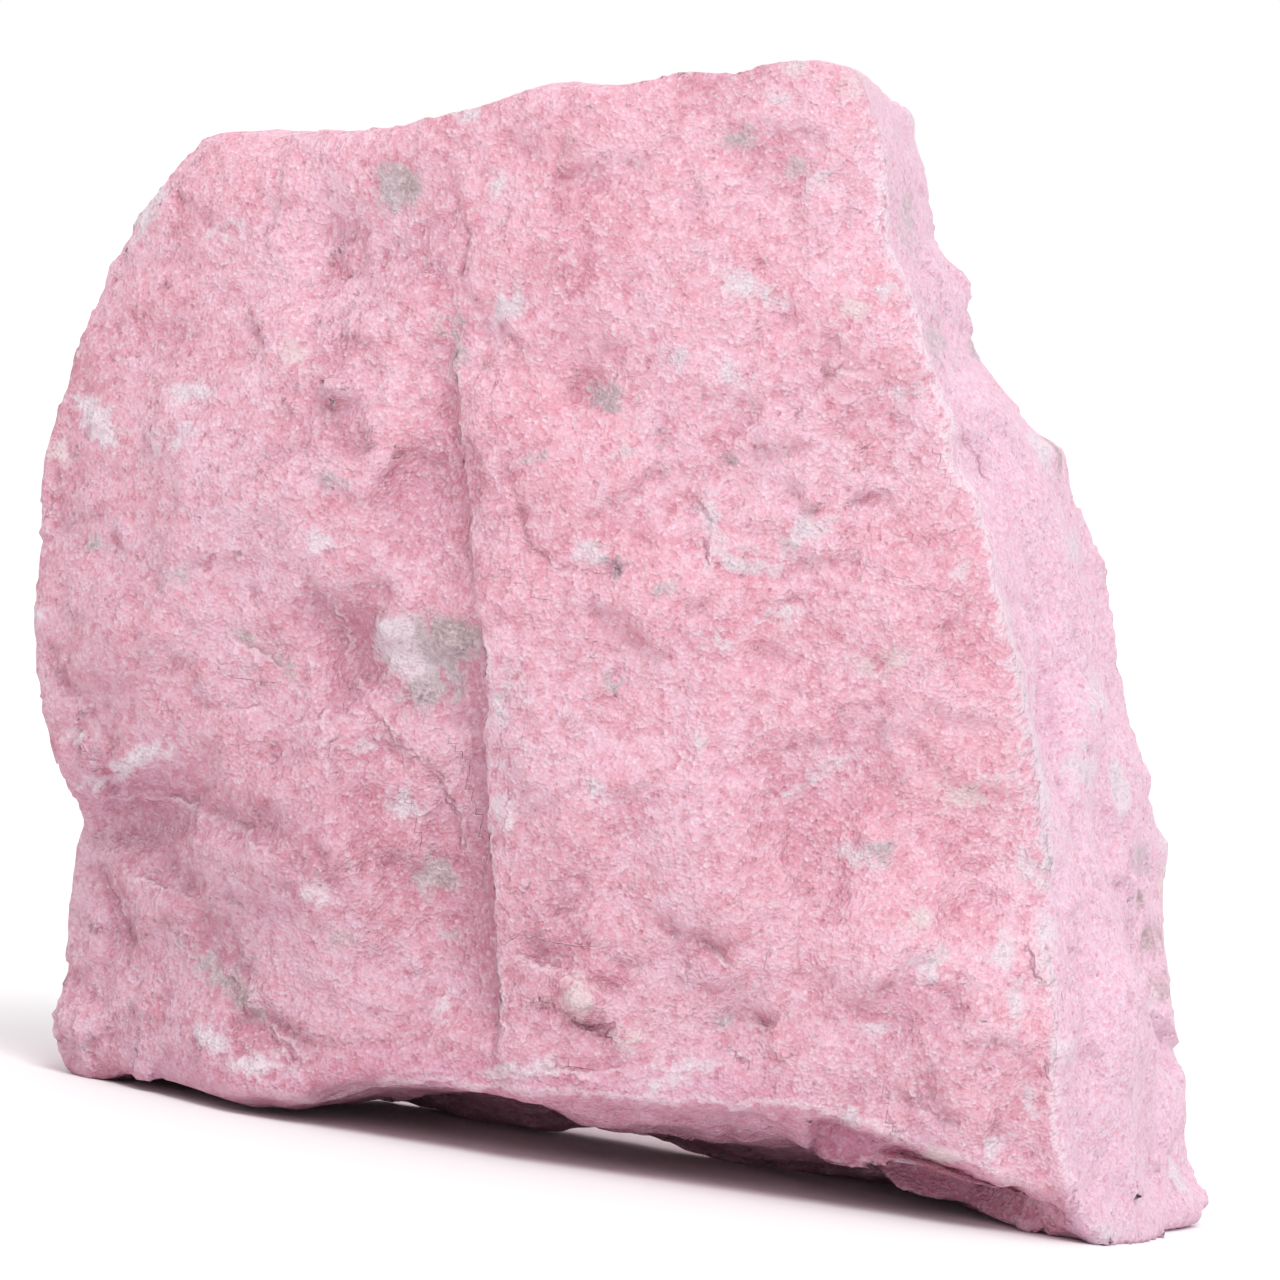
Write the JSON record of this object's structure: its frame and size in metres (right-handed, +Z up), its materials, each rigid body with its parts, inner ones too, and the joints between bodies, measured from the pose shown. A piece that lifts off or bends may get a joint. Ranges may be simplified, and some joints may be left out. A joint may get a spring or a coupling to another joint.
{
  "type": "thulite specimen",
  "caption": "Rough broken block of pink, sugar-grained thulite with pale grey patches, standing on its worn foot.",
  "frame": {"origin": "middle of the stone's outline seen from above, on the surface that it stands on", "axes": "+Z up, +X to the right along the broad front face, +Y away from the front face"},
  "size_m": [0.052, 0.0278, 0.0454],
  "materials": {
    "thulite": "rough broken surface of fine sugar-like grains, dull, pink with whitish and greenish grey patches"
  },
  "bodies": {
    "root": {"thulite_stone": "thulite"}
  },
  "joints": []
}
